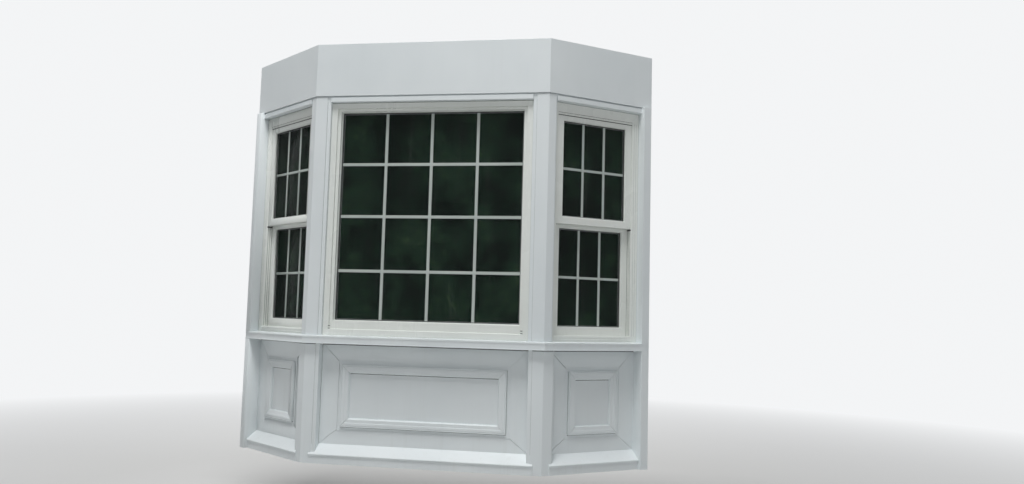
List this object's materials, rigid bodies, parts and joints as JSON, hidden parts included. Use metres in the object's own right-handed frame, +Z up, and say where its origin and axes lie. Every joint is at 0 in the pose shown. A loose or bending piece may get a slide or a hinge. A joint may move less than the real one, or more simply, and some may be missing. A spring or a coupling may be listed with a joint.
{
  "type": "bay window",
  "caption": "Three-sided bay window that hangs on a wall, with a fixed picture window, double-hung flank windows, folded corner posts, tall header and panelled apron.",
  "frame": {"origin": "middle of the lower ledger's back, on the wall", "axes": "+X right seen from outdoors, along the wall; +Y into the wall; +Z up"},
  "size_m": [2.4602, 0.478, 2.377],
  "materials": {
    "white_trim": "white, satin",
    "window_vinyl": "white, satin",
    "window_glass": "clear, looks dark green against a dark room",
    "painted_board": "painted, matte",
    "timber": "sawn, bare"
  },
  "bodies": {
    "root": {"lower_ledger": "timber", "upper_ledger": "timber", "head_board": "timber", "seat_board": "painted_board", "roof_board": "timber", "underside_board": "painted_board", "header_front": "white_trim", "header_left": "white_trim", "header_right": "white_trim", "head_trim_front": "white_trim", "head_trim_left": "white_trim", "head_trim_right": "white_trim", "upper_post_left": "white_trim", "upper_post_right": "white_trim", "lower_post_left": "white_trim", "lower_post_right": "white_trim", "upper_jamb_left": "white_trim", "upper_jamb_right": "white_trim", "lower_jamb_left": "white_trim", "lower_jamb_right": "white_trim", "sill_front": "white_trim", "sill_left": "white_trim", "sill_right": "white_trim", "picture_frame": "window_vinyl", "picture_glass": "window_glass", "window_frame_left": "window_vinyl", "window_frame_right": "window_vinyl", "upper_sash_left": "window_vinyl", "upper_sash_right": "window_vinyl", "upper_glass_left": "window_glass", "upper_glass_right": "window_glass", "lower_sash_left": "window_vinyl", "lower_sash_right": "window_vinyl", "lower_glass_left": "window_glass", "lower_glass_right": "window_glass", "apron_field_front": "white_trim", "apron_field_left": "white_trim", "apron_field_right": "white_trim", "apron_surround_front": "white_trim", "apron_surround_left": "white_trim", "apron_surround_right": "white_trim", "apron_moulding_front": "white_trim", "apron_moulding_left": "white_trim", "apron_moulding_right": "white_trim", "apron_ledge_front": "white_trim", "apron_ledge_left": "white_trim", "apron_ledge_right": "white_trim"}
  },
  "joints": []
}
